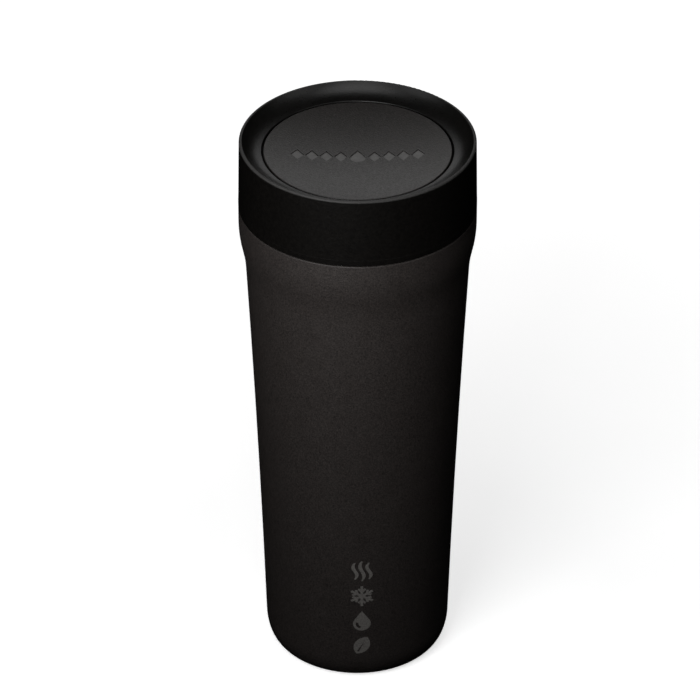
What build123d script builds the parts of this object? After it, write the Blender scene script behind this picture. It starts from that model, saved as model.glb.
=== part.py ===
from build123d import *
import os

# Vacuum-insulated travel mug with a screw-in lid and a push-button valve that opens all round.
# Millimetres, +Z up, origin at the centre of the base. Every outline is radius against height.

os.makedirs("parts", exist_ok=True)

# ---- overall sizes ----
TOTAL_HEIGHT = 207.5
RIM_RADIUS = 41.0
SHOULDER_RADIUS = 41.45
SEAM_Z = 181.75
SEAM_GAP = 0.4
FACE_GAP = 0.05  # between faces that touch inside one body
MOVING_GAP = 0.3  # between faces that meet across a joint
SHAFT_FIT = 0.08  # radial clearance of a sliding shaft

# ---- mug: outer shell ----
SHELL_WALL = 0.8
LIP_ROUND = 0.35
SHELL_LOWEST_Z = 0.5
NECK_BAND = 6.0
FLARE_UPPER_RADIUS = 42.0
FLARE_UPPER_TURN = 13.7
FLARE_LOWER_RADIUS = 44.2
FLARE_LOWER_TURN = 10.7
WALL_FOOT_RADIUS = 33.05
WALL_FOOT_Z = 10.4
BASE_ROUND_WIDTH = 4.1
HEM_RADIUS = 28.0
HEM_TOP_Z = 5.0

# ---- mug: liner ----
LINER_WALL = 0.6
MOUTH_RADIUS = 38.6
MOUTH_FOOT_Z = 167.4
LIP_WIDTH = SHOULDER_RADIUS - SHELL_WALL - MOUTH_RADIUS
BOWL_TOP_RADIUS = 34.6
BOWL_TOP_Z = 150.0
BOWL_FOOT_RADIUS = 29.4
BOWL_FOOT_Z = 20.0
BOWL_FLOOR_Z = 10.4
BOWL_ROUND = 9.6

# ---- mug: what the vacuum space and the base hold ----
SHIELD_GAP = 0.3
SHIELD_WALL = 0.2
SHIELD_FOOT_Z = 24.0
SHIELD_TOP_Z = 146.0
BASE_PLATE_Z = 3.4
BASE_PLATE_THICKNESS = 0.8
PORT_RADIUS = 1.2
DIMPLE_RADIUS = 5.0
DIMPLE_DEPTH = 1.0
GETTER_OFFSET = 16.0
GETTER_RADIUS = 4.0
GETTER_HEIGHT = 1.6
GETTER_WALL = 0.4
FOOT_PAD_RADIUS = HEM_RADIUS - 0.2
FOOT_RING_RADIUS = 20.0
FOOT_RECESS = 0.8

# ---- screw thread: one turn lifts the lid by the lead ----
THREAD_LEAD = 12.0
THREAD_STARTS = 3
THREAD_ARC = 190.0
RIB_DEPTH = 1.0
RIB_BURIED = 0.25
RIB_ROOT = 1.7
RIB_CREST = 1.0
MOUTH_RIB_Z = 170.6
PLUG_RIB_RISE = 2.3

# ---- lid: collar ----
COLLAR_FOOT_Z = SEAM_Z + SEAM_GAP
COLLAR_BORE = 39.6
COLLAR_LEDGE_Z = 183.9
COLLAR_LEDGE_HEIGHT = 1.5
MOULD_LINE_Z = COLLAR_FOOT_Z + 2.0
MOULD_LINE_DEPTH = 0.04
RIM_OUTER_ROUND = 0.6
RIM_BORE = 40.0
RIM_BORE_FOOT_Z = 203.9
GASKET_HEIGHT = 1.6

# ---- lid: drinking dish and the well under it ----
DISH_EDGE_RADIUS = 33.2
DISH_EDGE_Z = 203.4
DISH_EDGE_ROUND = 0.3
DISH_LIP = 1.6
DISH_START_SLOPE = (1.0, 0.17)
WELL_RADIUS = 36.2
WELL_WALL = 1.8
DISH_SHOULDER_Z = 200.6

# ---- lid: insert that plugs the mouth ----
PLUG_RADIUS = 37.2
PLUG_BORE = 35.2
PLUG_FOOT_Z = 170.0
SEAT_BORE = 29.5
SEAT_HEIGHT = 1.6
FLOOR_Z = 186.0
FLOOR_TOP_Z = 187.8
FLANGE_RADIUS = COLLAR_BORE - 0.1
DRINK_PORTS = 6
PORT_INNER = 14.0
PORT_OUTER = 31.0
PORT_SPAN = 44.0

# ---- lid: push-push guide, rotor and spring ----
GUIDE_RADIUS = 10.0
GUIDE_BORE = 8.2
GUIDE_FOOT_Z = PLUG_FOOT_Z
GUIDE_TOP_Z = 188.6
GUIDE_FLANGE = 1.6
GUIDE_RIBS = 4
GUIDE_RIB_SPAN = 24.0
GUIDE_RIB_BORE = 6.6
GUIDE_RIB_TOP_Z = 188.2
WASHER_THICKNESS = 0.4
ROTOR_FOOT_Z = 181.6
ROTOR_HEIGHT = 3.7
LOBE_RADIUS = 7.9
LOBE_SPAN = 8.0
LATCH_DROP = 3.2
SPRING_RADIUS = 6.0
SPRING_WIRE = 0.8
SPRING_TURNS = 4.0

# ---- button and valve ----
BUTTON_RADIUS = 32.6
BUTTON_PLATE = 1.8
BUTTON_HOLLOW = 2.8
BUTTON_SKIRT_BORE = 31.2
BUTTON_SKIRT_FOOT_Z = 199.6
BUTTON_EDGE_ROUND = 0.3
BOSS_RADIUS = 7.4
BOSS_FOOT_Z = 194.5
STIFFENERS = 6
STIFFENER_WIDTH = 1.2
STIFFENER_RADIUS = 30.0
STIFFENER_FOOT_Z = 197.0
MARK_DEPTH = 0.3
DROP_RADIUS = 2.7
DROP_TIP = 4.3
LOZENGES = 4
LOZENGE_WIDTH = 4.6
LOZENGE_HEIGHT = 6.6
LOZENGE_PITCH = 5.0
LOZENGE_START = 5.8
STEM_RADIUS = 4.1
STEM_HEAD_RADIUS = 5.0
STEM_FLANGE_RADIUS = 6.2
STEM_FLANGE_HEIGHT = 2.4
KEY_SPAN = 20.0
VALVE_RADIUS = 32.6
VALVE_TOP_Z = 168.6
VALVE_THICKNESS = 1.8
VALVE_RIB_DROP = 1.4
SEAL_OUTER_RADIUS = 34.6
SEAL_INNER_RADIUS = 29.0
SEAL_TOP_Z = PLUG_FOOT_Z - MOVING_GAP
SCREW_RADIUS = 1.5
SCREW_LENGTH = 8.0
SCREW_HEAD_RADIUS = 3.6
SCREW_HEAD_HEIGHT = 1.8
SCREW_SLOT = 0.8


def outline(*points):
    """Add the face inside a closed polyline to the current sketch."""
    Polygon(*points, align=None)


def sector_edges(inner, outer, middle, span):
    """Edges of a piece of a ring between two radii, span degrees wide about the middle angle."""
    outer_arc = CenterArc((0, 0), outer, middle - span / 2, span)
    inner_arc = CenterArc((0, 0), inner, middle - span / 2, span)
    Line(outer_arc @ 0, inner_arc @ 0)
    Line(outer_arc @ 1, inner_arc @ 1)


def shell_side(inset):
    """Neck band, flare, wall and rounded base as one chain, moved inward by inset."""
    band_top = (SHOULDER_RADIUS - inset, SEAM_Z - LIP_ROUND)
    band_foot = (SHOULDER_RADIUS - inset, SEAM_Z - NECK_BAND)
    wall_foot = (WALL_FOOT_RADIUS - inset, WALL_FOOT_Z)
    Line(band_top, band_foot)
    upper = JernArc(band_foot, (0, -1), FLARE_UPPER_RADIUS - inset, -FLARE_UPPER_TURN)
    lower = JernArc(upper @ 1, upper % 1, FLARE_LOWER_RADIUS + inset, FLARE_LOWER_TURN)
    TangentArc(lower @ 1, wall_foot, tangent=lower % 1)
    EllipticalCenterArc(
        (WALL_FOOT_RADIUS - BASE_ROUND_WIDTH, WALL_FOOT_Z),
        BASE_ROUND_WIDTH - inset,
        WALL_FOOT_Z - SHELL_LOWEST_Z - inset,
        start_angle=-90,
        arc_size=90,
    )


def thread_path(start, radius, foot_z):
    """Helix that one start of the lid thread follows."""
    rise = THREAD_LEAD * THREAD_ARC / 360
    path = Helix(THREAD_LEAD, rise, radius, center=(0, 0, foot_z), mode=Mode.PRIVATE)
    return path.rotate(Axis.Z, start * 360 / THREAD_STARTS)


def rib_plane(path):
    """Plane across the start of a thread rib, its x axis pointing out of the thread."""
    foot = path @ 0
    return Plane(foot, x_dir=(foot.X, foot.Y, 0), z_dir=path % 0)


def rib_section(depth):
    """Add the section of a thread rib, standing out by depth from its buried root."""
    outline((0, -RIB_ROOT / 2), (depth, -RIB_CREST / 2), (depth, RIB_CREST / 2), (0, RIB_ROOT / 2))


def save(piece, name):
    """Label a finished sub-part and write it under its own name."""
    piece.part.label = name
    export_step(piece.part, f"parts/{name}.step")


# ================= mug =================

# Powder-coated steel shell: rounded lip, straight band, flare, tapered wall and rolled hem.
with BuildPart() as outer_shell:
    with BuildSketch(Plane.XZ):
        with BuildLine():
            shell_side(0)
            shell_side(SHELL_WALL)
            lip_centre = (SHOULDER_RADIUS - LIP_ROUND, SEAM_Z - LIP_ROUND)
            lip = CenterArc(lip_centre, LIP_ROUND, 0, 90)
            lip_inner = SHOULDER_RADIUS - SHELL_WALL
            Polyline(lip @ 1, (lip_inner, SEAM_Z), (lip_inner, SEAM_Z - LIP_ROUND))
            round_centre_radius = WALL_FOOT_RADIUS - BASE_ROUND_WIDTH
            Polyline(
                (round_centre_radius, SHELL_LOWEST_Z),
                (HEM_RADIUS, SHELL_LOWEST_Z),
                (HEM_RADIUS, HEM_TOP_Z),
                (HEM_RADIUS + SHELL_WALL, HEM_TOP_Z),
                (HEM_RADIUS + SHELL_WALL, SHELL_LOWEST_Z + SHELL_WALL),
                (round_centre_radius, SHELL_LOWEST_Z + SHELL_WALL),
            )
        make_face()
    revolve(axis=Axis.Z)
save(outer_shell, "outer_shell")

# Steel liner: flat lip, straight mouth with three rolled thread ribs, cone, bowl and round floor.
with BuildPart() as inner_liner:
    with BuildSketch(Plane.XZ):
        with BuildLine():
            lip_outer = MOUTH_RADIUS + LIP_WIDTH - FACE_GAP
            floor_radius = BOWL_FOOT_RADIUS - BOWL_ROUND
            inner_foot = (BOWL_FOOT_RADIUS, BOWL_FOOT_Z)
            outer_foot = (BOWL_FOOT_RADIUS + LINER_WALL, BOWL_FOOT_Z)
            Polyline(
                inner_foot,
                (BOWL_TOP_RADIUS, BOWL_TOP_Z),
                (MOUTH_RADIUS, MOUTH_FOOT_Z),
                (MOUTH_RADIUS, SEAM_Z),
                (lip_outer, SEAM_Z),
                (lip_outer, SEAM_Z - LINER_WALL),
                (MOUTH_RADIUS + LINER_WALL, SEAM_Z - LINER_WALL),
                (MOUTH_RADIUS + LINER_WALL, MOUTH_FOOT_Z),
                (BOWL_TOP_RADIUS + LINER_WALL, BOWL_TOP_Z),
                outer_foot,
            )
            round_centre = (floor_radius, BOWL_FOOT_Z)
            inner_round = CenterArc(round_centre, BOWL_ROUND, -90, 90)
            outer_round = CenterArc(round_centre, BOWL_ROUND + LINER_WALL, -90, 90)
            inner_pole = (0, BOWL_FLOOR_Z)
            outer_pole = (0, BOWL_FLOOR_Z - LINER_WALL)
            Polyline(inner_round @ 0, inner_pole, outer_pole, outer_round @ 0)
        make_face()
    revolve(axis=Axis.Z)
    for start in range(THREAD_STARTS):
        mouth_path = thread_path(start, MOUTH_RADIUS + RIB_BURIED, MOUTH_RIB_Z)
        with BuildSketch(rib_plane(mouth_path)):
            rib_section(-RIB_DEPTH - RIB_BURIED)
        sweep(path=mouth_path, is_frenet=True)
save(inner_liner, "inner_liner")

# Copper heat shield: thin cone round the bowl, inside the vacuum space.
with BuildPart() as copper_shield:
    with BuildSketch(Plane.XZ):
        bowl_slope = (BOWL_TOP_RADIUS - BOWL_FOOT_RADIUS) / (BOWL_TOP_Z - BOWL_FOOT_Z)
        shield_foot = BOWL_FOOT_RADIUS + LINER_WALL + SHIELD_GAP
        shield_foot += bowl_slope * (SHIELD_FOOT_Z - BOWL_FOOT_Z)
        shield_top = shield_foot + bowl_slope * (SHIELD_TOP_Z - SHIELD_FOOT_Z)
        outline(
            (shield_foot, SHIELD_FOOT_Z),
            (shield_top, SHIELD_TOP_Z),
            (shield_top + SHIELD_WALL, SHIELD_TOP_Z),
            (shield_foot + SHIELD_WALL, SHIELD_FOOT_Z),
        )
    revolve(axis=Axis.Z)
save(copper_shield, "copper_shield")

# Base plate welded inside the hem, dimpled round its evacuation port.
with BuildPart() as base_plate:
    with BuildSketch(Plane.XZ):
        plate_edge = HEM_RADIUS - FACE_GAP
        plate_top_z = BASE_PLATE_Z + BASE_PLATE_THICKNESS
        outline(
            (PORT_RADIUS, BASE_PLATE_Z - DIMPLE_DEPTH),
            (DIMPLE_RADIUS, BASE_PLATE_Z - DIMPLE_DEPTH),
            (DIMPLE_RADIUS + DIMPLE_DEPTH, BASE_PLATE_Z),
            (plate_edge, BASE_PLATE_Z),
            (plate_edge, plate_top_z),
            (DIMPLE_RADIUS + DIMPLE_DEPTH, plate_top_z),
            (DIMPLE_RADIUS, plate_top_z - DIMPLE_DEPTH),
            (PORT_RADIUS, plate_top_z - DIMPLE_DEPTH),
        )
    revolve(axis=Axis.Z)
save(base_plate, "base_plate")

# Solder bead that closes the evacuation port: a plug under a low dome.
with BuildPart() as vacuum_seal:
    with BuildSketch(Plane.XZ):
        with BuildLine():
            bead_z = plate_top_z - DIMPLE_DEPTH + FACE_GAP
            plug_radius = PORT_RADIUS - FACE_GAP
            dome_top = (0, bead_z + PORT_RADIUS)
            dome_edge = (2 * PORT_RADIUS, bead_z)
            TangentArc(dome_top, dome_edge, tangent=(1, 0))
            Polyline(
                dome_edge,
                (plug_radius, bead_z),
                (plug_radius, BASE_PLATE_Z - DIMPLE_DEPTH),
                (0, BASE_PLATE_Z - DIMPLE_DEPTH),
                dome_top,
            )
        make_face()
    revolve(axis=Axis.Z)
save(vacuum_seal, "vacuum_seal")

# Getter cup on the base plate, and the pellet pressed into it.
with BuildPart() as getter_cup:
    with BuildSketch(Plane.XY.offset(plate_top_z + FACE_GAP)):
        with Locations((GETTER_OFFSET, 0)):
            Circle(GETTER_RADIUS + GETTER_WALL)
    extrude(amount=GETTER_HEIGHT)
    with BuildSketch(Plane.XY.offset(plate_top_z + FACE_GAP + GETTER_WALL)):
        with Locations((GETTER_OFFSET, 0)):
            Circle(GETTER_RADIUS)
    extrude(amount=GETTER_HEIGHT, mode=Mode.SUBTRACT)
save(getter_cup, "getter_cup")

with BuildPart() as getter_pellet:
    with BuildSketch(Plane.XY.offset(plate_top_z + 2 * FACE_GAP + GETTER_WALL)):
        with Locations((GETTER_OFFSET, 0)):
            Circle(GETTER_RADIUS - FACE_GAP)
    extrude(amount=GETTER_HEIGHT)
save(getter_pellet, "getter_pellet")

# Silicone foot pad: a disc bonded under the base plate that stands on a flat ring.
with BuildPart() as foot_pad:
    with BuildSketch(Plane.XZ):
        pad_top_z = BASE_PLATE_Z - FACE_GAP
        pad_chamfer = FOOT_RECESS / 2
        dimple_clear = DIMPLE_RADIUS + 2 * DIMPLE_DEPTH
        outline(
            (0, FOOT_RECESS),
            (FOOT_RING_RADIUS, FOOT_RECESS),
            (FOOT_RING_RADIUS + FOOT_RECESS, 0),
            (FOOT_PAD_RADIUS - pad_chamfer, 0),
            (FOOT_PAD_RADIUS, pad_chamfer),
            (FOOT_PAD_RADIUS, pad_top_z),
            (dimple_clear, pad_top_z),
            (dimple_clear, pad_top_z - DIMPLE_DEPTH - FACE_GAP),
            (0, pad_top_z - DIMPLE_DEPTH - FACE_GAP),
        )
    revolve(axis=Axis.Z)
save(foot_pad, "foot_pad")

# ================= lid =================

# Collar: outer skirt down to the seam, thin land at the rim and an inner ledge for the insert.
with BuildPart() as lid_collar:
    with BuildSketch(Plane.XZ) as collar_outline:
        line_radius = SHOULDER_RADIUS - MOULD_LINE_DEPTH
        ledge_bore = PLUG_RADIUS + FACE_GAP
        outline(
            (COLLAR_BORE, COLLAR_FOOT_Z),
            (SHOULDER_RADIUS, COLLAR_FOOT_Z),
            (SHOULDER_RADIUS, MOULD_LINE_Z),
            (line_radius, MOULD_LINE_Z + MOULD_LINE_DEPTH),
            (RIM_RADIUS, TOTAL_HEIGHT),
            (RIM_BORE, TOTAL_HEIGHT),
            (RIM_BORE, RIM_BORE_FOOT_Z),
            (COLLAR_BORE, RIM_BORE_FOOT_Z - (RIM_BORE - COLLAR_BORE)),
            (COLLAR_BORE, COLLAR_LEDGE_Z + COLLAR_LEDGE_HEIGHT),
            (ledge_bore, COLLAR_LEDGE_Z + COLLAR_LEDGE_HEIGHT),
            (ledge_bore, COLLAR_LEDGE_Z),
            (COLLAR_BORE, COLLAR_LEDGE_Z),
        )
        rim_corner = collar_outline.vertices().sort_by_distance((RIM_RADIUS, TOTAL_HEIGHT))[0]
        fillet(rim_corner, RIM_OUTER_ROUND)
    revolve(axis=Axis.Z)
save(lid_collar, "lid_collar")

# Drinking dish: concave ring from the rim down to the button, over a well with a straight wall.
with BuildPart() as drink_dish:
    with BuildSketch(Plane.XZ) as dish_outline:
        with BuildLine():
            dish_edge = (DISH_EDGE_RADIUS, DISH_EDGE_Z)
            dish_rim = (RIM_BORE - FACE_GAP, TOTAL_HEIGHT - FACE_GAP)
            TangentArc(dish_edge, dish_rim, tangent=DISH_START_SLOPE)
            dish_bore = COLLAR_BORE - 2 * FACE_GAP
            well_outer = WELL_RADIUS + WELL_WALL
            Polyline(
                dish_rim,
                (RIM_BORE - FACE_GAP, RIM_BORE_FOOT_Z + FACE_GAP),
                (dish_bore, RIM_BORE_FOOT_Z - (RIM_BORE - dish_bore)),
                (dish_bore, DISH_SHOULDER_Z),
                (well_outer, DISH_SHOULDER_Z - (dish_bore - well_outer)),
                (well_outer, FLOOR_TOP_Z + FACE_GAP),
                (WELL_RADIUS, FLOOR_TOP_Z + FACE_GAP),
                (WELL_RADIUS, DISH_EDGE_Z - DISH_LIP),
                (DISH_EDGE_RADIUS, DISH_EDGE_Z - DISH_LIP),
                dish_edge,
            )
        make_face()
        fillet(dish_outline.vertices().sort_by_distance(dish_edge)[0], DISH_EDGE_ROUND)
    revolve(axis=Axis.Z)
save(drink_dish, "drink_dish")

# Insert: threaded plug, floor with drinking ports, and the valve seat at its foot.
with BuildPart() as lid_insert:
    with BuildSketch(Plane.XZ):
        flange_foot_z = COLLAR_LEDGE_Z + COLLAR_LEDGE_HEIGHT + FACE_GAP
        guide_hole = GUIDE_RADIUS + FACE_GAP
        outline(
            (SEAT_BORE, PLUG_FOOT_Z),
            (PLUG_RADIUS, PLUG_FOOT_Z),
            (PLUG_RADIUS, flange_foot_z),
            (FLANGE_RADIUS, flange_foot_z),
            (FLANGE_RADIUS, FLOOR_TOP_Z),
            (guide_hole, FLOOR_TOP_Z),
            (guide_hole, FLOOR_Z),
            (PLUG_BORE, FLOOR_Z),
            (PLUG_BORE, PLUG_FOOT_Z + SEAT_HEIGHT),
            (SEAT_BORE, PLUG_FOOT_Z + SEAT_HEIGHT),
        )
    revolve(axis=Axis.Z)
    with BuildSketch(Plane.XY.offset(FLOOR_Z)):
        for port in range(DRINK_PORTS):
            with BuildLine():
                sector_edges(PORT_INNER, PORT_OUTER, port * 360 / DRINK_PORTS, PORT_SPAN)
            make_face()
    extrude(amount=FLOOR_TOP_Z - FLOOR_Z, mode=Mode.SUBTRACT)
    for start in range(THREAD_STARTS):
        plug_path = thread_path(start, PLUG_RADIUS - RIB_BURIED, MOUTH_RIB_Z + PLUG_RIB_RISE)
        with BuildSketch(rib_plane(plug_path)):
            rib_section(RIB_DEPTH + RIB_BURIED)
        sweep(path=plug_path, is_frenet=True)
save(lid_insert, "lid_insert")

# Seal ring in the corner between the dish wall, the insert flange and the collar.
with BuildPart() as dish_seal:
    with BuildSketch(Plane.XZ):
        ring_inner = WELL_RADIUS + WELL_WALL + FACE_GAP
        ring_width = COLLAR_BORE - ring_inner - 2 * FACE_GAP
        with Locations((ring_inner + ring_width / 2, FLOOR_TOP_Z + FACE_GAP + ring_width / 2)):
            RectangleRounded(ring_width, ring_width, ring_width / 4)
    revolve(axis=Axis.Z)
save(dish_seal, "dish_seal")

# Lid gasket: ring under the collar ledge that meets the lip of the mug.
with BuildPart() as lid_gasket:
    with BuildSketch(Plane.XZ):
        gasket_inner = PLUG_RADIUS + 3 * FACE_GAP
        gasket_outer = COLLAR_BORE - MOVING_GAP
        gasket_z = SEAM_Z + MOVING_GAP / 2
        with Locations(((gasket_inner + gasket_outer) / 2, gasket_z + GASKET_HEIGHT / 2)):
            RectangleRounded(gasket_outer - gasket_inner, GASKET_HEIGHT, GASKET_HEIGHT / 4)
    revolve(axis=Axis.Z)
save(lid_gasket, "lid_gasket")

# Guide: sleeve with ribs that steer the latch rotor, closed at its foot round the stem.
with BuildPart() as latch_guide:
    with BuildSketch(Plane.XZ):
        stem_hole = STEM_RADIUS + SHAFT_FIT
        outline(
            (stem_hole, GUIDE_FOOT_Z),
            (GUIDE_RADIUS, GUIDE_FOOT_Z),
            (GUIDE_RADIUS, GUIDE_TOP_Z),
            (GUIDE_BORE, GUIDE_TOP_Z),
            (GUIDE_BORE, GUIDE_FOOT_Z + GUIDE_FLANGE),
            (stem_hole, GUIDE_FOOT_Z + GUIDE_FLANGE),
        )
    revolve(axis=Axis.Z)
    rib_foot_z = ROTOR_FOOT_Z + ROTOR_HEIGHT - LATCH_DROP
    with BuildSketch(Plane.XY.offset(rib_foot_z)):
        for rib in range(GUIDE_RIBS):
            middle = (rib + 0.5) * 360 / GUIDE_RIBS
            with BuildLine():
                sector_edges(GUIDE_RIB_BORE, GUIDE_BORE + RIB_BURIED, middle, GUIDE_RIB_SPAN)
            make_face()
    extrude(amount=GUIDE_RIB_TOP_Z - rib_foot_z)
save(latch_guide, "latch_guide")

# Lip seal that wipes the stem under the guide.
with BuildPart() as stem_wiper:
    with BuildSketch(Plane.XZ):
        wiper_foot_z = VALVE_TOP_Z + MOVING_GAP
        outline(
            (stem_hole, wiper_foot_z),
            (stem_hole + 2 * LINER_WALL, wiper_foot_z),
            (STEM_FLANGE_RADIUS, GUIDE_FOOT_Z - FACE_GAP),
            (stem_hole, GUIDE_FOOT_Z - FACE_GAP),
        )
    revolve(axis=Axis.Z)
save(stem_wiper, "stem_wiper")

# Thrust washer under the spring.
with BuildPart() as spring_washer:
    with BuildSketch(Plane.XY.offset(GUIDE_FOOT_Z + GUIDE_FLANGE + FACE_GAP)):
        Circle(GUIDE_BORE - MOVING_GAP)
        Circle(stem_hole, mode=Mode.SUBTRACT)
    extrude(amount=WASHER_THICKNESS)
save(spring_washer, "spring_washer")

# Return spring round the stem, between the washer and the rotor.
with BuildPart() as return_spring:
    spring_foot_z = GUIDE_FOOT_Z + GUIDE_FLANGE + WASHER_THICKNESS + 2 * FACE_GAP + SPRING_WIRE / 2
    spring_head_z = ROTOR_FOOT_Z - FACE_GAP - SPRING_WIRE / 2
    spring_rise = spring_head_z - spring_foot_z
    coil = Helix(
        spring_rise / SPRING_TURNS,
        spring_rise,
        SPRING_RADIUS,
        center=(0, 0, spring_foot_z),
        mode=Mode.PRIVATE,
    )
    with BuildSketch(Plane(coil @ 0, x_dir=(1, 0, 0), z_dir=coil % 0)):
        Circle(SPRING_WIRE / 2)
    sweep(path=coil, is_frenet=True)
save(return_spring, "return_spring")

# Latch rotor: ring on the stem with four lobes that pass or catch the guide ribs.
with BuildPart() as latch_rotor:
    with BuildSketch(Plane.XY.offset(ROTOR_FOOT_Z)):
        Circle(GUIDE_RIB_BORE - MOVING_GAP)
        for lobe in range(GUIDE_RIBS):
            with BuildLine():
                sector_edges(STEM_HEAD_RADIUS, LOBE_RADIUS, lobe * 360 / GUIDE_RIBS, LOBE_SPAN)
            make_face()
        Circle(stem_hole, mode=Mode.SUBTRACT)
    extrude(amount=ROTOR_HEIGHT)
save(latch_rotor, "latch_rotor")

# ================= button and valve =================

# Tool that sinks the mark: a drop between two rows of lozenges, down to a hollow floor.
with BuildPart() as mark_tool:
    hollow_z = DISH_EDGE_Z - BUTTON_HOLLOW
    with BuildSketch(Plane.XZ):
        with BuildLine():
            floor_pole = (0, hollow_z - MARK_DEPTH)
            floor_edge = (BUTTON_RADIUS, DISH_EDGE_Z - MARK_DEPTH)
            TangentArc(floor_pole, floor_edge, tangent=(1, 0))
            Polyline(floor_edge, (BUTTON_RADIUS, DISH_EDGE_Z), (0, DISH_EDGE_Z), floor_pole)
        make_face()
    revolve(axis=Axis.Z)
    with BuildSketch(Plane.XY.offset(hollow_z - BUTTON_HOLLOW)):
        with BuildLine():
            drop_bowl = CenterArc((0, -DROP_RADIUS / 4), DROP_RADIUS, 150, 240)
            Line(drop_bowl @ 0, (0, DROP_TIP))
            Line(drop_bowl @ 1, (0, DROP_TIP))
        make_face()
        for place in range(LOZENGES):
            across = LOZENGE_START + place * LOZENGE_PITCH
            with Locations((across, 0), (-across, 0)):
                outline(
                    (LOZENGE_WIDTH / 2, 0),
                    (0, LOZENGE_HEIGHT / 2),
                    (-LOZENGE_WIDTH / 2, 0),
                    (0, -LOZENGE_HEIGHT / 2),
                )
    extrude(amount=3 * BUTTON_HOLLOW, mode=Mode.INTERSECT)

# Stiffening ribs and stem boss of the button, cut off along the middle of its hollow plate.
with BuildPart() as button_frame:
    plate_foot_z = hollow_z - BUTTON_PLATE
    with BuildSketch(Plane.XY.offset(STIFFENER_FOOT_Z)):
        with PolarLocations(0, STIFFENERS // 2, angular_range=180):
            Rectangle(2 * STIFFENER_RADIUS, STIFFENER_WIDTH)
    extrude(amount=DISH_EDGE_Z - STIFFENER_FOOT_Z)
    with BuildSketch(Plane.XY.offset(BOSS_FOOT_Z)):
        Circle(BOSS_RADIUS)
    extrude(amount=DISH_EDGE_Z - BOSS_FOOT_Z)
    with BuildSketch(Plane.XZ):
        with BuildLine():
            middle_pole = (0, hollow_z - BUTTON_PLATE / 2)
            middle_edge = (BUTTON_RADIUS, DISH_EDGE_Z - BUTTON_PLATE / 2)
            TangentArc(middle_pole, middle_edge, tangent=(1, 0))
            Polyline(middle_edge, (BUTTON_RADIUS, BOSS_FOOT_Z), (0, BOSS_FOOT_Z), middle_pole)
        make_face()
    revolve(axis=Axis.Z, mode=Mode.INTERSECT)

# Push button: hollow disc with a sunk mark, skirt, stiffening ribs and a boss for the stem.
with BuildPart() as push_button:
    with BuildSketch(Plane.XZ) as button_outline:
        with BuildLine():
            button_pole = (0, hollow_z)
            button_edge = (BUTTON_RADIUS, DISH_EDGE_Z)
            under_pole = (0, plate_foot_z)
            under_edge = (BUTTON_SKIRT_BORE, DISH_EDGE_Z - BUTTON_PLATE)
            TangentArc(button_pole, button_edge, tangent=(1, 0))
            TangentArc(under_pole, under_edge, tangent=(1, 0))
            Polyline(
                button_edge,
                (BUTTON_RADIUS, BUTTON_SKIRT_FOOT_Z),
                (BUTTON_SKIRT_BORE, BUTTON_SKIRT_FOOT_Z),
                under_edge,
            )
            Line(under_pole, button_pole)
        make_face()
        fillet(button_outline.vertices().sort_by_distance(button_edge)[0], BUTTON_EDGE_ROUND)
    revolve(axis=Axis.Z)
    add(button_frame.part)
    with BuildSketch(Plane.XY.offset(BOSS_FOOT_Z)):
        Circle(STEM_HEAD_RADIUS + FACE_GAP)
    extrude(amount=plate_foot_z - BOSS_FOOT_Z, mode=Mode.SUBTRACT)
    add(mark_tool.part, mode=Mode.SUBTRACT)
save(push_button, "push_button")

# Button seal: silicone lip carried under the button, which meets the underside of the dish.
with BuildPart() as button_seal:
    with BuildSketch(Plane.XZ):
        seal_root_z = BUTTON_SKIRT_FOOT_Z - FACE_GAP
        seal_foot_z = seal_root_z - BUTTON_PLATE + SHELL_WALL
        lip_top_z = DISH_EDGE_Z - DISH_LIP - MOVING_GAP
        outline(
            (BUTTON_SKIRT_BORE - SHELL_WALL, seal_root_z),
            (BUTTON_SKIRT_BORE - SHELL_WALL, seal_foot_z),
            (WELL_RADIUS - 3 * SHELL_WALL, seal_foot_z),
            (WELL_RADIUS - SHELL_WALL, lip_top_z),
            (WELL_RADIUS - 3 * SHELL_WALL, lip_top_z),
            (BUTTON_RADIUS + MOVING_GAP, seal_root_z),
        )
    revolve(axis=Axis.Z)
save(button_seal, "button_seal")

# Plunger stem: head in the button boss, keyed flange over the rotor, shaft down to the valve.
with BuildPart() as plunger_stem:
    flange_z = ROTOR_FOOT_Z + ROTOR_HEIGHT + MOVING_GAP
    shaft_foot_z = VALVE_TOP_Z + FACE_GAP
    with BuildSketch(Plane.XZ):
        outline(
            (0, shaft_foot_z),
            (STEM_RADIUS, shaft_foot_z),
            (STEM_RADIUS, flange_z),
            (STEM_FLANGE_RADIUS, flange_z),
            (STEM_FLANGE_RADIUS, flange_z + STEM_FLANGE_HEIGHT),
            (STEM_HEAD_RADIUS, flange_z + STEM_FLANGE_HEIGHT),
            (STEM_HEAD_RADIUS, plate_foot_z - FACE_GAP),
            (0, plate_foot_z - FACE_GAP),
        )
    revolve(axis=Axis.Z)
    with BuildSketch(Plane.XY.offset(flange_z)):
        for key in range(GUIDE_RIBS):
            with BuildLine():
                sector_edges(STEM_HEAD_RADIUS, LOBE_RADIUS, key * 360 / GUIDE_RIBS, KEY_SPAN)
            make_face()
    extrude(amount=STEM_FLANGE_HEIGHT)
    with BuildSketch(Plane.XY.offset(shaft_foot_z)):
        Circle(SCREW_RADIUS + FACE_GAP)
    extrude(amount=SCREW_LENGTH, mode=Mode.SUBTRACT)
save(plunger_stem, "plunger_stem")

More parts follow.
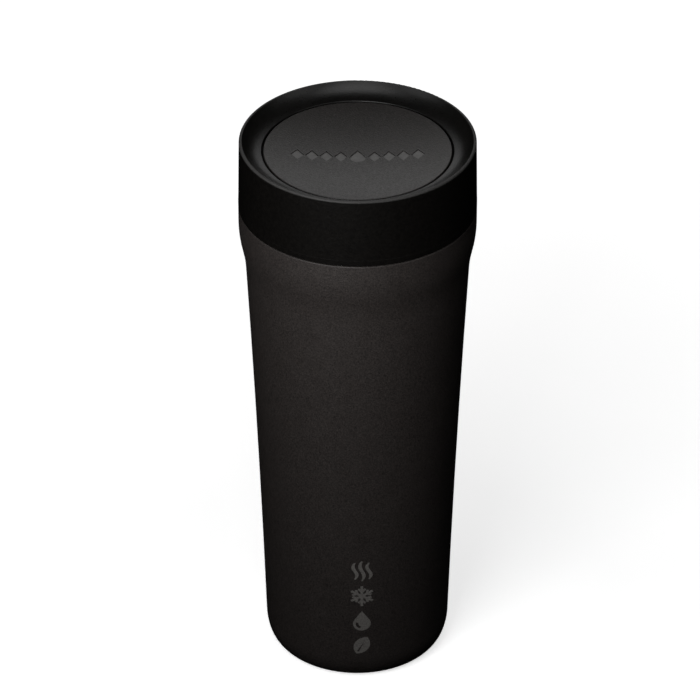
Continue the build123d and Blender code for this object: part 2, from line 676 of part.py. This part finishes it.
# Valve disc under the plug, stiffened by ribs on its wet side.
with BuildPart() as valve_disc:
    with BuildSketch(Plane.XY.offset(VALVE_TOP_Z - VALVE_THICKNESS)):
        Circle(VALVE_RADIUS)
    extrude(amount=VALVE_THICKNESS)
    with BuildSketch(Plane.XY.offset(VALVE_TOP_Z - VALVE_THICKNESS - VALVE_RIB_DROP)):
        with PolarLocations(0, STIFFENERS // 2, angular_range=180):
            Rectangle(1.7 * VALVE_RADIUS, STIFFENER_WIDTH)
        Circle(BOSS_RADIUS)
        Circle(SCREW_HEAD_RADIUS + MOVING_GAP, mode=Mode.SUBTRACT)
    extrude(amount=VALVE_RIB_DROP)
    with BuildSketch(Plane.XY.offset(VALVE_TOP_Z - VALVE_THICKNESS)):
        Circle(SCREW_RADIUS + FACE_GAP)
    extrude(amount=VALVE_THICKNESS, mode=Mode.SUBTRACT)
save(valve_disc, "valve_disc")

# Valve seal: silicone ring that wraps the edge of the disc and closes on the seat.
with BuildPart() as valve_seal:
    with BuildSketch(Plane.XZ):
        wrap_bore = VALVE_RADIUS + FACE_GAP
        wrap_foot_z = VALVE_TOP_Z - VALVE_THICKNESS
        outline(
            (SEAL_INNER_RADIUS, VALVE_TOP_Z + FACE_GAP),
            (wrap_bore, VALVE_TOP_Z + FACE_GAP),
            (wrap_bore, wrap_foot_z),
            (wrap_bore + SHELL_WALL, wrap_foot_z),
            (SEAL_OUTER_RADIUS, SEAL_TOP_Z),
            (SEAT_BORE + 2 * SHELL_WALL, SEAL_TOP_Z),
            (SEAL_INNER_RADIUS, VALVE_TOP_Z + SHELL_WALL),
        )
    revolve(axis=Axis.Z)
save(valve_seal, "valve_seal")

# Screw that clamps the valve disc to the stem.
with BuildPart() as valve_screw:
    head_top_z = VALVE_TOP_Z - VALVE_THICKNESS - FACE_GAP
    with BuildSketch(Plane.XY.offset(head_top_z)):
        Circle(SCREW_HEAD_RADIUS)
    extrude(amount=-SCREW_HEAD_HEIGHT)
    fillet(valve_screw.edges().group_by(Axis.Z)[0], SCREW_SLOT)
    with BuildSketch(Plane.XY.offset(head_top_z)):
        Circle(SCREW_RADIUS)
    extrude(amount=SCREW_LENGTH)
    with BuildSketch(Plane.XY.offset(head_top_z - SCREW_HEAD_HEIGHT)):
        with PolarLocations(0, 2, angular_range=180):
            Rectangle(SCREW_HEAD_RADIUS, SCREW_SLOT)
    extrude(amount=SCREW_HEAD_HEIGHT / 2, mode=Mode.SUBTRACT)
save(valve_screw, "valve_screw")
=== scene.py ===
import math

import bmesh
import bpy
from mathutils import Matrix, Vector
from mathutils.bvhtree import BVHTree
from mathutils.geometry import tessellate_polygon


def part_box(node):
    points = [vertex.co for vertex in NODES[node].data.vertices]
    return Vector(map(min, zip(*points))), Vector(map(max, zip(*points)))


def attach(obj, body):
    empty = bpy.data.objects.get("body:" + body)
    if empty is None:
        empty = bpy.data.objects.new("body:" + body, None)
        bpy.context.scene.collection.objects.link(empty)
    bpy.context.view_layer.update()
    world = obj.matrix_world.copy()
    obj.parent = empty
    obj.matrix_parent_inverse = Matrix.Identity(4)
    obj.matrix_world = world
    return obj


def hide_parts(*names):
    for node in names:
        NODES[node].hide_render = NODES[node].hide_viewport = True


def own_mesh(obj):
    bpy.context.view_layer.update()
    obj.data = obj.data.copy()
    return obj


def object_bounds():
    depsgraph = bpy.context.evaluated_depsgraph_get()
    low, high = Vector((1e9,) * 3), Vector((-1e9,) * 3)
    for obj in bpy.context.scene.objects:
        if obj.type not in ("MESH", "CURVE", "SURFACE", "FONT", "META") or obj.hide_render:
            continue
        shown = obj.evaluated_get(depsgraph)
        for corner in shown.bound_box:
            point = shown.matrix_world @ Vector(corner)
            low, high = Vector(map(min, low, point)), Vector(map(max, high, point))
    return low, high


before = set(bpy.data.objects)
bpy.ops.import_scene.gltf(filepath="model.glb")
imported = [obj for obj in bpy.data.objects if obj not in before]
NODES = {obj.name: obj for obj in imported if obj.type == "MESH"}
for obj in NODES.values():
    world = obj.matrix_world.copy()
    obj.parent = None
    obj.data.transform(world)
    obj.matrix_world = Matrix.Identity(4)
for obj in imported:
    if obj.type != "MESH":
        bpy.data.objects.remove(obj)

CAD_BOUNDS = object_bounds()
MM = 0.001
SHARP_ANGLE = math.radians(28)

# Looks of a matt black travel mug: powder-coated shell, satin lid, hollow push button.
# Metres, same frame as the CAD: +Z up, printed front facing -Y.

# ---- camera: long lens, looking down at the front ----
CAMERA_DISTANCE = 1.8
CAMERA_TILT = math.radians(33.32)
CAMERA_LENS = 261.87
CAMERA_AIM = Vector((-2.65 * MM, 0.0, 120.9 * MM))


def make_camera():
    """Camera in front of the mug, looking down at it by its tilt."""
    data = bpy.data.cameras.new("camera")
    data.lens = CAMERA_LENS
    data.sensor_width = 36.0
    camera = bpy.data.objects.new("camera", data)
    back = Vector((0.0, -math.cos(CAMERA_TILT), math.sin(CAMERA_TILT)))
    camera.location = CAMERA_AIM + back * CAMERA_DISTANCE
    camera.rotation_mode = "QUATERNION"
    camera.rotation_quaternion = (-back).to_track_quat("-Z", "Y")
    bpy.context.scene.collection.objects.link(camera)
    bpy.context.scene.camera = camera


# ---- materials ----
# Depth of the band of painted highlight below the top of the collar rim.
RIM_HIGHLIGHT_DEPTH = 0.75 * MM


class Shader:
    """A material and short ways to add nodes to it."""

    def __init__(self, name, metallic=0.0, **constants):
        self.material = bpy.data.materials.new(name)
        self.material.use_nodes = True
        self.tree = self.material.node_tree
        self.surface = self.tree.nodes["Principled BSDF"]
        self.surface.inputs["Metallic"].default_value = metallic
        for socket, value in constants.items():
            self.surface.inputs[socket.replace("_", " ")].default_value = value
        coordinates = self.tree.nodes.new("ShaderNodeTexCoord")
        self.place = coordinates.outputs["Object"]

    def link(self, source, target):
        self.tree.links.new(source, target)

    def stretched(self, x, y, z):
        """Object coordinates scaled along each axis."""
        node = self.tree.nodes.new("ShaderNodeMapping")
        node.inputs["Scale"].default_value = (x, y, z)
        self.link(self.place, node.inputs["Vector"])
        return node.outputs["Vector"]

    def noise(self, grain, detail=2.0, roughness=0.5, place=None):
        """Noise whose blobs are about grain metres across."""
        node = self.tree.nodes.new("ShaderNodeTexNoise")
        node.inputs["Scale"].default_value = 1.0 / grain
        node.inputs["Detail"].default_value = detail
        node.inputs["Roughness"].default_value = roughness
        self.link(place or self.place, node.inputs["Vector"])
        return node.outputs["Fac"]

    def height(self):
        """Height of the point above the origin of its own body, in metres."""
        node = self.tree.nodes.new("ShaderNodeSeparateXYZ")
        self.link(self.place, node.inputs["Vector"])
        return node.outputs["Z"]

    def mix(self, share, color, other):
        """Colour that gives way to a plain other colour by the given share."""
        node = self.tree.nodes.new("ShaderNodeMixRGB")
        node.inputs["Color2"].default_value = (*other, 1.0)
        self.link(share, node.inputs["Fac"])
        self.link(color, node.inputs["Color1"])
        return node.outputs["Color"]

    def cells(self, grain, place=None):
        """Distance to the nearest of scattered points about grain metres apart."""
        node = self.tree.nodes.new("ShaderNodeTexVoronoi")
        node.inputs["Scale"].default_value = 1.0 / grain
        self.link(place or self.place, node.inputs["Vector"])
        return node.outputs["Distance"]

    def ramp(self, value, low, high, low_at=0.3, high_at=0.7):
        """Colour that runs from low to high as value runs between two places."""
        node = self.tree.nodes.new("ShaderNodeValToRGB")
        node.color_ramp.elements[0].position = low_at
        node.color_ramp.elements[1].position = high_at
        node.color_ramp.elements[0].color = (*low, 1.0)
        node.color_ramp.elements[1].color = (*high, 1.0)
        self.link(value, node.inputs["Fac"])
        return node.outputs["Color"]

    def range(self, value, low, high, low_at=0.3, high_at=0.7):
        """Number that runs from low to high as value runs between two places."""
        node = self.tree.nodes.new("ShaderNodeMapRange")
        node.inputs["From Min"].default_value = low_at
        node.inputs["From Max"].default_value = high_at
        node.inputs["To Min"].default_value = low
        node.inputs["To Max"].default_value = high
        self.link(value, node.inputs["Value"])
        return node.outputs["Result"]

    def bump(self, height, depth, under=None):
        """Bump of the given depth in metres, on top of an earlier bump."""
        node = self.tree.nodes.new("ShaderNodeBump")
        node.inputs["Distance"].default_value = depth
        self.link(height, node.inputs["Height"])
        if under is not None:
            self.link(under, node.inputs["Normal"])
        return node.outputs["Normal"]

    def finish(self, color, roughness=None, normal=None):
        """Join the worked-out colour, roughness and normal to the surface."""
        self.link(color, self.surface.inputs["Base Color"])
        if roughness is not None:
            self.link(roughness, self.surface.inputs["Roughness"])
        if normal is not None:
            self.link(normal, self.surface.inputs["Normal"])
        return self.material


def powder_coat():
    """Matt powder coat: fine light specks, a faint orange peel and a sandy grain."""
    s = Shader("powder_coat", IOR=1.45)
    speck = s.noise(0.5 * MM, detail=3.0, roughness=0.7)
    color = s.ramp(speck, (0.011, 0.0093, 0.0087), (0.045, 0.038, 0.0355), 0.33, 0.67)
    rough = s.range(s.noise(6 * MM), 0.5, 0.58)
    peel = s.bump(s.noise(1.6 * MM, detail=1.0), 0.02 * MM)
    grain = s.bump(s.noise(0.4 * MM, detail=3.0, roughness=0.65), 0.06 * MM, under=peel)
    return s.finish(color, rough, grain)


def collar_plastic(rim):
    """Smooth black moulding with faint wipe marks, and a painted highlight: paler colour along its
    rim.
    """
    s = Shader("collar_plastic", IOR=1.4, Specular_IOR_Level=0.14)
    color = s.ramp(s.noise(1.2 * MM, detail=4.0), (0.0028, 0.0025, 0.0023), (0.0052, 0.0047, 0.0042))
    # Painted highlight: the colour turns paler over the top of the rim, standing in for the light on
    # its rounded edge.
    painted_rim_highlight = s.range(s.height(), 0.0, 1.0, rim - RIM_HIGHLIGHT_DEPTH, rim - 0.3 * RIM_HIGHLIGHT_DEPTH)
    color = s.mix(painted_rim_highlight, color, (0.05, 0.049, 0.048))
    wipe = s.noise(0.7 * MM, detail=4.0, place=s.stretched(0.25, 0.25, 3.0))
    rough = s.range(wipe, 0.4, 0.5)
    grain = s.bump(s.noise(0.7 * MM, detail=2.0), 0.1 * MM)
    return s.finish(color, rough, grain)


def dish_plastic():
    """Satin black moulding of the drinking dish."""
    s = Shader("dish_plastic", IOR=1.45)
    color = s.ramp(s.noise(5 * MM), (0.0036, 0.0034, 0.0031), (0.0054, 0.005, 0.0046))
    rough = s.range(s.noise(0.5 * MM, detail=3.0), 0.27, 0.37)
    grain = s.bump(s.noise(0.4 * MM, detail=2.0), 0.035 * MM)
    return s.finish(color, rough, grain)


def button_plastic():
    """Black moulding from a spark-eroded tool: even fine grain all over."""
    s = Shader("button_plastic", IOR=1.6)
    speck = s.noise(0.5 * MM, detail=2.0, roughness=0.7)
    color = s.ramp(speck, (0.009, 0.008, 0.0074), (0.034, 0.03, 0.028), 0.36, 0.66)
    rough = s.range(s.noise(0.9 * MM, detail=2.0), 0.32, 0.44)
    grain = s.bump(s.noise(0.5 * MM, detail=2.0, roughness=0.6), 0.075 * MM)
    return s.finish(color, rough, grain)


def mark_sheen_plastic():
    """Polished floor of the sunk mark; its colour is lightened as a painted sheen."""
    s = Shader("mark_sheen_plastic", IOR=1.5)
    # Painted sheen: a colour several times lighter than the button's, for the light the polished
    # floor catches.
    color = s.ramp(s.noise(1.5 * MM), (0.085, 0.083, 0.081), (0.115, 0.112, 0.109))
    rough = s.range(s.noise(0.5 * MM), 0.3, 0.38)
    grain = s.bump(s.noise(0.5 * MM), 0.008 * MM)
    return s.finish(color, rough, grain)


def print_ink():
    """Grey pad print: the grain of the coat shows through the thin ink."""
    s = Shader("print_ink", IOR=1.45)
    speck = s.noise(0.5 * MM, detail=3.0, roughness=0.7)
    color = s.ramp(speck, (0.11, 0.105, 0.099), (0.19, 0.181, 0.171), 0.35, 0.68)
    rough = s.range(s.noise(1 * MM), 0.48, 0.58)
    grain = s.bump(s.noise(0.4 * MM, detail=3.0, roughness=0.65), 0.02 * MM)
    return s.finish(color, rough, grain)


def moulded_plastic(name, dark, light, rough_low, rough_high):
    """Plain injection moulding: cloudy colour, fine flow lines and slight wear."""
    s = Shader(name, IOR=1.46)
    color = s.ramp(s.noise(3 * MM, detail=3.0), dark, light)
    rough = s.range(s.noise(1.2 * MM, detail=3.0), rough_low, rough_high)
    flow = s.bump(s.noise(2.2 * MM), 0.01 * MM)
    grain = s.bump(s.noise(0.3 * MM), 0.01 * MM, under=flow)
    return s.finish(color, rough, grain)


def silicone():
    """Soft matt silicone with a dusty bloom."""
    s = Shader("silicone", IOR=1.41)
    color = s.ramp(s.noise(2.5 * MM, detail=4.0), (0.02, 0.02, 0.021), (0.036, 0.036, 0.038))
    rough = s.range(s.noise(1 * MM), 0.62, 0.78)
    grain = s.bump(s.noise(0.25 * MM, detail=2.0), 0.012 * MM)
    return s.finish(color, rough, grain)


def turned_steel():
    """Spun stainless steel: fine rings round the axis, soft stains and scratches."""
    s = Shader("turned_steel", metallic=1.0)
    stain = s.noise(14 * MM, detail=3.0)
    color = s.ramp(stain, (0.5, 0.49, 0.47), (0.64, 0.63, 0.61))
    rings = s.noise(0.25 * MM, detail=3.0, place=s.stretched(0.02, 0.02, 1.0))
    rough = s.range(rings, 0.24, 0.4)
    grooves = s.bump(rings, 0.006 * MM)
    return s.finish(color, rough, grooves)


def drawn_metal(name, dark, light, rough_low, rough_high):
    """Plain metal with small dents, a little tarnish and fine scratches."""
    s = Shader(name, metallic=1.0)
    color = s.ramp(s.noise(4 * MM, detail=4.0), dark, light)
    rough = s.range(s.noise(0.8 * MM, detail=3.0), rough_low, rough_high)
    dents = s.bump(s.noise(1.4 * MM), 0.01 * MM)
    return s.finish(color, rough, dents)


def pressed_powder():
    """Crumbly face of the getter pellet."""
    s = Shader("pressed_powder", IOR=1.5)
    speck = s.cells(0.35 * MM)
    color = s.ramp(speck, (0.22, 0.22, 0.225), (0.12, 0.12, 0.125), 0.1, 0.6)
    rough = s.range(speck, 0.8, 0.9)
    return s.finish(color, rough, s.bump(speck, 0.05 * MM))


def dress(material, *names):
    """Give CAD nodes a material and smooth their round faces."""
    for name in names:
        mesh = NODES[name].data
        mesh.materials.clear()
        mesh.materials.append(material)
        mesh.shade_smooth()
        mesh.set_sharp_from_angle(angle=SHARP_ANGLE)


def dress_cad_nodes():
    """Give every CAD node its material, then add the pieces made here."""
    spring_steel = drawn_metal(
        "spring_steel", (0.42, 0.42, 0.42), (0.56, 0.56, 0.56), 0.2, 0.36
    )
    rubber = silicone()
    dress(powder_coat(), "outer_shell")
    rim = max(vertex.co.z for vertex in NODES["lid_collar"].data.vertices)
    dress(collar_plastic(rim), "lid_collar")
    dress(dish_plastic(), "drink_dish")
    dress(button_plastic(), "push_button")
    dress(rubber, "foot_pad", "lid_gasket", "dish_seal", "stem_wiper", "button_seal", "valve_seal")
    dress(
        moulded_plastic("insert_plastic", (0.016, 0.016, 0.017), (0.024, 0.024, 0.025), 0.34, 0.46),
        "lid_insert",
        "latch_guide",
        "valve_disc",
    )
    dress(
        moulded_plastic("acetal", (0.5, 0.5, 0.47), (0.6, 0.6, 0.57), 0.3, 0.42),
        "latch_rotor",
        "plunger_stem",
    )
    dress(turned_steel(), "inner_liner", "base_plate", "getter_cup", "spring_washer")
    dress(
        drawn_metal("copper", (0.6, 0.27, 0.14), (0.8, 0.42, 0.27), 0.25, 0.45), "copper_shield"
    )
    dress(drawn_metal("solder", (0.42, 0.42, 0.43), (0.58, 0.58, 0.59), 0.35, 0.5), "vacuum_seal")
    dress(spring_steel, "return_spring", "valve_screw")
    dress(pressed_powder(), "getter_pellet")
    make_return_spring(spring_steel)
    make_grip_rings(rubber)
    make_lip_weld(drawn_metal("weld_steel", (0.5, 0.49, 0.47), (0.62, 0.61, 0.59), 0.25, 0.4))
    make_signs(print_ink())
    make_mark_floor(mark_sheen_plastic())


# ---- new pieces ----
LAY_FROM = 20 * MM
SHEET_LIFT = 0.03 * MM
SHEET_FILM = 0.02 * MM
SHEET_GRID = 1 * MM


def add_piece(name, mesh, material, body):
    """Show a finished mesh as a piece that rides on a body."""
    mesh.materials.append(material)
    mesh.shade_smooth()
    mesh.set_sharp_from_angle(angle=SHARP_ANGLE)
    piece = bpy.data.objects.new(name, mesh)
    bpy.context.scene.collection.objects.link(piece)
    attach(piece, body)
    return piece


def arc(centre_x, centre_y, radius, start, span, steps=24):
    """Points along an arc, from a start angle through a span in degrees."""
    turns = [math.radians(start + span * step / steps) for step in range(steps + 1)]
    return [(centre_x + radius * math.cos(t), centre_y + radius * math.sin(t)) for t in turns]


def turned(points, degrees):
    """Points turned about the origin."""
    turn = math.radians(degrees)
    cos, sin = math.cos(turn), math.sin(turn)
    return [(x * cos - y * sin, x * sin + y * cos) for x, y in points]


def drop_sign(size):
    """Drop with a crescent of light cut out of its left side."""
    body = [*arc(0.0, -0.14 * size, 0.36 * size, 150, 240), (0.0, 0.5 * size)]
    crescent = arc(0.0, -0.14 * size, 0.25 * size, 165, 90)
    crescent += reversed(arc(0.0, -0.14 * size, 0.14 * size, 165, 90))
    return [[body, crescent]]


def snow_sign(size):
    """Snow crystal: six arms, each with one pair of barbs."""
    half = 0.055 * size
    side = [
        (half * math.tan(math.radians(60)), half),
        (0.2 * size, half),
        (0.31 * size, 0.17 * size),
        (0.4 * size, 0.12 * size),
        (0.33 * size, half),
        (0.5 * size, half),
    ]
    arm = [(along, -across) for along, across in side] + side[:0:-1]
    star = []
    for turn in range(6):
        star += turned(arm, 90 + 60 * turn)
    return [[star]]


def steam_sign(size):
    """Three wisps that wave as they rise and thin out at both ends."""
    wisps = []
    for lane in (-1, 0, 1):
        left, right = [], []
        for step in range(25):
            rise = step / 24
            half = 0.08 * size * math.sqrt(math.sin(math.pi * (0.04 + 0.92 * rise)))
            middle = 0.28 * size * lane + 0.08 * size * math.sin(2 * math.pi * rise)
            height = (rise - 0.5) * size * (0.84 if lane else 1.0)
            left.append((middle - half, height))
            right.append((middle + half, height))
        wisps.append([left + right[::-1]])
    return wisps


def leaf_sign(size):
    """Leaning leaf with a slit for its vein."""
    reach = 0.5 * size
    half = 0.31 * size
    side = math.degrees(math.acos(1 - half / reach))
    blade = arc(half - reach, 0.0, reach, -side, 2 * side)
    blade += arc(reach - half, 0.0, reach, 180 - side, 2 * side)[1:-1]
    vein = [(-0.04 * size, -0.34 * size), (0.04 * size, -0.34 * size), (0.0, 0.22 * size)]
    return [[turned(blade, -28), turned(vein, -28)]]


def lay(shapes, place, node):
    """Thin closed sheet of flat shapes, wrapped on to a CAD face.

    A shape is its outline and the holes in it, as x and y. Place puts that plane in front of the
    face, and each point goes straight back from there on to the face and stands a little off it.
    """
    cad = NODES[node].data
    face_tree = BVHTree.FromPolygons(
        [vertex.co for vertex in cad.vertices], [polygon.vertices for polygon in cad.polygons]
    )
    sheet = bmesh.new()
    for shape in shapes:
        loops = [[Vector((x, y, 0.0)) for x, y in loop] for loop in shape]
        corners = [sheet.verts.new(corner) for loop in loops for corner in loop]
        for triangle in tessellate_polygon(loops):
            sheet.faces.new([corners[index] for index in triangle])
    for axis in (0, 1):
        reach = max(abs(vert.co[axis]) for vert in sheet.verts)
        lines = int(reach / SHEET_GRID)
        for line in range(-lines, lines + 1):
            cut = Vector((0.0, 0.0, 0.0))
            cut[axis] = line * SHEET_GRID
            across = Vector((1.0 - axis, float(axis), 0.0))
            parts = [*sheet.verts, *sheet.edges, *sheet.faces]
            bmesh.ops.bisect_plane(sheet, geom=parts, plane_co=cut, plane_no=across)
    bmesh.ops.triangulate(sheet, faces=sheet.faces)
    into = -(place.to_3x3() @ Vector((0.0, 0.0, 1.0)))
    for vert in sheet.verts:
        hit, normal, _, _ = face_tree.ray_cast(place @ vert.co, into)
        vert.co = hit + normal * SHEET_LIFT
    bmesh.ops.recalc_face_normals(sheet, faces=sheet.faces)
    bmesh.ops.solidify(sheet, geom=sheet.faces, thickness=SHEET_FILM)
    mesh = bpy.data.meshes.new("sheet")
    sheet.to_mesh(mesh)
    sheet.free()
    return mesh


def frame_matrix(across, up, origin):
    """Matrix that puts flat x along across, flat y along up, and the plane at origin."""
    out = across.cross(up)
    matrix = Matrix((across, up, out)).transposed().to_4x4()
    matrix.translation = origin
    return matrix


# ---- printed signs on the front, near the foot ----
SIGN_SIZE = 8.9 * MM
SIGN_PITCH = 11.2 * MM
LOWEST_SIGN_Z = 15.7 * MM
SIGN_X = 1.6 * MM


def make_signs(ink):
    """Column of plain signs on the front: kept hot, kept cold, no spills, reusable."""
    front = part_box("outer_shell")[0].y - LAY_FROM
    across, up = Vector((1.0, 0.0, 0.0)), Vector((0.0, 0.0, 1.0))
    signs = {"leaf": leaf_sign, "drop": drop_sign, "snow": snow_sign, "steam": steam_sign}
    for place, (name, sign) in enumerate(signs.items()):
        origin = Vector((SIGN_X, front, LOWEST_SIGN_Z + place * SIGN_PITCH))
        mesh = lay(sign(SIGN_SIZE), frame_matrix(across, up, origin), "outer_shell")
        add_piece(f"print_{name}", mesh, ink, "mug")


# ---- floor of the mark sunk in the button, lightened by painted sheen ----
MARK_INSET = 0.06 * MM
DROP_RADIUS = 2.7 * MM - MARK_INSET
DROP_TIP = 4.3 * MM - 2 * MARK_INSET
DROP_MIDDLE = -0.675 * MM
LOZENGES = 4
LOZENGE_WIDTH = 4.6 * MM - 3 * MARK_INSET
LOZENGE_HEIGHT = 6.6 * MM - 4 * MARK_INSET
LOZENGE_PITCH = 5.0 * MM
LOZENGE_START = 5.8 * MM


def make_mark_floor(material):
    """Polished sheet on the floor of the sunk drop and lozenges, lightened by painted sheen."""
    shapes = [[[*arc(0.0, DROP_MIDDLE, DROP_RADIUS, 150, 240), (0.0, DROP_TIP)]]]
    for place in range(LOZENGES):
        middle = LOZENGE_START + place * LOZENGE_PITCH
        for x in (-middle, middle):
            lozenge = [
                (x + LOZENGE_WIDTH / 2, 0.0),
                (x, LOZENGE_HEIGHT / 2),
                (x - LOZENGE_WIDTH / 2, 0.0),
                (x, -LOZENGE_HEIGHT / 2),
            ]
            shapes.append([lozenge])
    above = Vector((0.0, 0.0, CAD_BOUNDS[1].z + LAY_FROM))
    place = frame_matrix(Vector((1.0, 0.0, 0.0)), Vector((0.0, 1.0, 0.0)), above)
    mesh = lay(shapes, place, "push_button")
    add_piece("mark_floor", mesh, material, "button")


# ---- turned rings ----


def ring_mesh(sections, steps, ripple=0.0, ripples=0):
    """Rings round the Z axis, one for each (radius, height, half width, half height) section."""
    corners = 10
    mesh = bmesh.new()
    for radius, height, half_width, half_height in sections:
        hoops = []
        for step in range(steps):
            turn = 2 * math.pi * step / steps
            swell = 1.0 + ripple * math.sin(ripples * turn)
            hoop = []
            for corner in range(corners):
                lean = 2 * math.pi * corner / corners
                out = radius + half_width * swell * math.cos(lean)
                up = height + half_height * swell * math.sin(lean)
                hoop.append(mesh.verts.new((out * math.cos(turn), out * math.sin(turn), up)))
            hoops.append(hoop)
        for step in range(steps):
            here, there = hoops[step], hoops[(step + 1) % steps]
            for corner in range(corners):
                after = (corner + 1) % corners
                mesh.faces.new((here[corner], there[corner], there[after], here[after]))
    bmesh.ops.recalc_face_normals(mesh, faces=mesh.faces)
    rings = bpy.data.meshes.new("rings")
    mesh.to_mesh(rings)
    mesh.free()
    return rings


def make_lip_weld(metal):
    """Fine rippled weld bead that joins the liner lip to the shell lip, under the lid."""
    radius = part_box("inner_liner")[1].x
    lip_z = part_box("outer_shell")[1].z
    mesh = ring_mesh([(radius, lip_z, 0.2 * MM, 0.07 * MM)], 720, ripple=0.2, ripples=180)
    add_piece("lip_weld", mesh, metal, "mug")


GRIP_RINGS = 5
GRIP_RING_PITCH = 3.0 * MM
FOOT_RECESS_Z = 0.8 * MM


def make_grip_rings(rubber):
    """Moulded rings in the recess under the foot pad."""
    sections = []
    for ring in range(GRIP_RINGS):
        sections.append(((ring + 2) * GRIP_RING_PITCH, FOOT_RECESS_Z, 0.5 * MM, 0.4 * MM))
    add_piece("grip_rings", ring_mesh(sections, 120), rubber, "mug")


# ---- return spring ----
SPRING_WIRE_RADIUS = 0.4 * MM
SPRING_COILS = 4.5
SPRING_END_COILS = 0.65


def make_return_spring(metal):
    """Coil spring with closed ends, shown in place of the CAD return spring."""
    low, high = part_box("return_spring")
    radius = high.x - SPRING_WIRE_RADIUS
    foot = low.z + SPRING_WIRE_RADIUS
    rise = high.z - low.z - 2 * SPRING_WIRE_RADIUS
    steps = int(SPRING_COILS * 48)
    data = bpy.data.curves.new("spring_path", "CURVE")
    data.dimensions = "3D"
    data.bevel_depth = SPRING_WIRE_RADIUS
    data.bevel_resolution = 4
    data.use_fill_caps = True
    spline = data.splines.new("POLY")
    spline.points.add(steps)
    for step in range(steps + 1):
        coil = SPRING_COILS * step / steps
        climb = (coil - SPRING_END_COILS) / (SPRING_COILS - 2 * SPRING_END_COILS)
        height = foot + rise * min(max(climb, 0.0), 1.0)
        turn = 2 * math.pi * coil
        point = (radius * math.cos(turn), radius * math.sin(turn), height, 1.0)
        spline.points[step].co = point
    path = bpy.data.objects.new("spring_path", data)
    mesh = bpy.data.meshes.new_from_object(path)
    bpy.data.objects.remove(path)
    spring = add_piece("coil_spring", mesh, metal, "lid")
    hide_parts("return_spring")
    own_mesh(spring)


# ---- floor and light ----
FLOOR_HALF_WIDTH = 6.0
FLOOR_DROP = 0.02 * MM
FLOOR_GLOW_NEAR = 0.7
FLOOR_GLOW_FAR = 1.0
NEAR = 0.1
FAR = 0.5
BODY_Z = 0.12
LID_Z = 0.18


def make_floor():
    """Pale seamless floor that glows, less near the mug so that the shadow shows there."""
    mesh = bpy.data.meshes.new("floor")
    half = FLOOR_HALF_WIDTH
    corners = [(-half, -half), (half, -half), (half, half), (-half, half)]
    mesh.from_pydata([(x, y, -FLOOR_DROP) for x, y in corners], [], [(0, 1, 2, 3)])
    floor = bpy.data.objects.new("floor", mesh)
    bpy.context.scene.collection.objects.link(floor)
    s = Shader("paper", IOR=1.4)
    color = s.ramp(s.noise(0.05), (0.84, 0.84, 0.84), (0.88, 0.88, 0.88))
    s.surface.inputs["Roughness"].default_value = 0.9
    s.surface.inputs["Emission Color"].default_value = (1.0, 1.0, 1.0, 1.0)
    reach = s.tree.nodes.new("ShaderNodeVectorMath")
    reach.operation = "LENGTH"
    s.link(s.place, reach.inputs[0])
    glow = s.range(reach.outputs["Value"], FLOOR_GLOW_NEAR, FLOOR_GLOW_FAR, NEAR, FAR)
    s.link(glow, s.surface.inputs["Emission Strength"])
    mesh.materials.append(s.finish(color))
    floor.visible_glossy = False
    floor.visible_diffuse = False


def make_light(name, azimuth, elevation, distance, width, height, power, aim_z=BODY_Z):
    """Softbox facing the mug, from a direction round it: azimuth 0 is the camera's side."""
    data = bpy.data.lights.new(name, "AREA")
    data.shape = "RECTANGLE"
    data.size = width
    data.size_y = height
    data.energy = power
    light = bpy.data.objects.new(name, data)
    light.visible_camera = False
    turn = math.radians(azimuth)
    rise = math.radians(elevation)
    back = Vector(
        (math.sin(turn) * math.cos(rise), -math.cos(turn) * math.cos(rise), math.sin(rise))
    )
    light.location = Vector((0.0, 0.0, aim_z)) + back * distance
    light.rotation_mode = "QUATERNION"
    light.rotation_quaternion = back.to_track_quat("Z", "Y")
    bpy.context.scene.collection.objects.link(light)


def make_lights():
    """Plain studio set: a near softbox in front, wide ones at the sides, above and behind."""
    make_light("key", -20, 20, 0.25, 0.15, 0.15, 0.5, aim_z=LID_Z)
    make_light("left", -70, 45, 0.8, 0.4, 0.4, 0.5)
    make_light("right", 70, 45, 1.0, 0.5, 0.5, 0.6)
    make_light("top", 0, 75, 0.5, 0.3, 0.3, 0.5)
    make_light("back", 180, 25, 1.0, 0.6, 0.4, 0.6)


def make_world():
    """White surroundings for the camera only: the mug is lit by the softboxes."""
    world = bpy.data.worlds.new("white")
    bpy.context.scene.world = world
    world.use_nodes = True
    world.node_tree.nodes["Background"].inputs["Color"].default_value = (1.0, 1.0, 1.0, 1.0)
    world.cycles_visibility.diffuse = False
    world.cycles_visibility.glossy = False


make_camera()
make_floor()
make_world()
make_lights()
dress_cad_nodes()
bpy.context.scene.view_settings.view_transform = "Standard"
